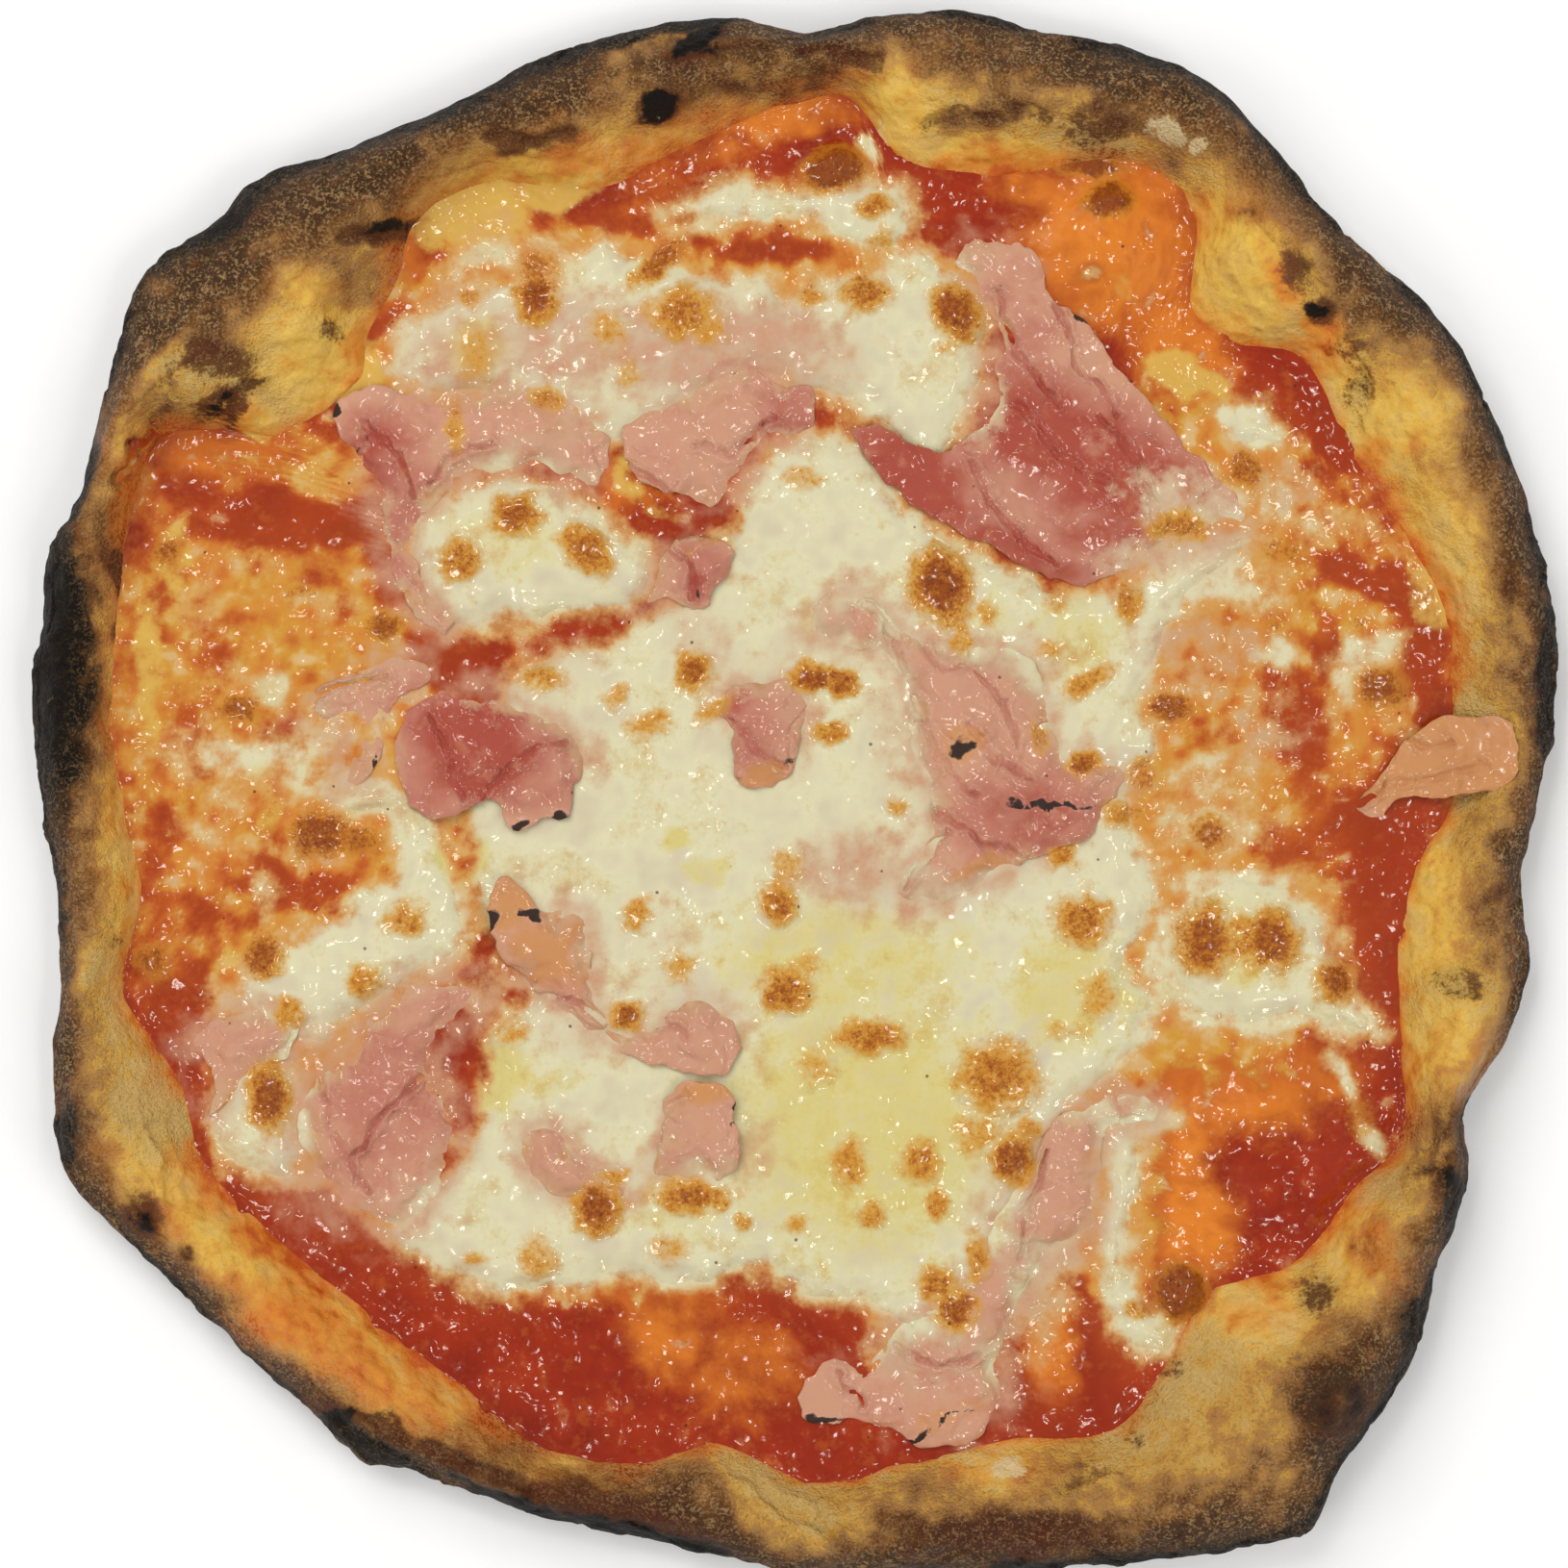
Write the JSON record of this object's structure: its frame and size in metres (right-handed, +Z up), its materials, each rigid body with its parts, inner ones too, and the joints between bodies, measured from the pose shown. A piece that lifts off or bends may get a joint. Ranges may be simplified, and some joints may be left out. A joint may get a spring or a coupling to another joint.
{
  "type": "whole baked ham pizza",
  "caption": "A whole baked ham pizza: uneven puffed crust with browned rim, tomato sauce, melted blistered cheese and torn ham slices.",
  "frame": {"origin": "the middle of the flat underside of the crust, under the middle of the pizza's box", "axes": "+Z is up, away from the underside; +X is right and +Y is away from the viewer in the view from straight above"},
  "size_m": [0.3008, 0.3082, 0.0239],
  "materials": {
    "crust": "matte",
    "sauce": "glossy",
    "cheese": "satin",
    "ham": "satin"
  },
  "bodies": {
    "root": {"cheese_centre": "cheese", "cheese_far_left": "cheese", "cheese_left": "cheese", "cheese_lower_left": "cheese", "cheese_lower_right": "cheese", "cheese_right": "cheese", "cheese_top": "cheese", "cheese_upper_right": "cheese", "cheese_upper_rim": "cheese", "crust": "crust", "ham_bottom": "ham", "ham_centre_right": "ham", "ham_centre_roll": "ham", "ham_far_left": "ham", "ham_left": "ham", "ham_left_strip": "ham", "ham_lower_centre": "ham", "ham_lower_curl": "ham", "ham_lower_left": "ham", "ham_lower_roll": "ham", "ham_middle_folds": "ham", "ham_right_rim": "ham", "ham_upper_left": "ham", "ham_upper_middle": "ham", "ham_upper_right": "ham", "sauce": "sauce"}
  },
  "joints": []
}
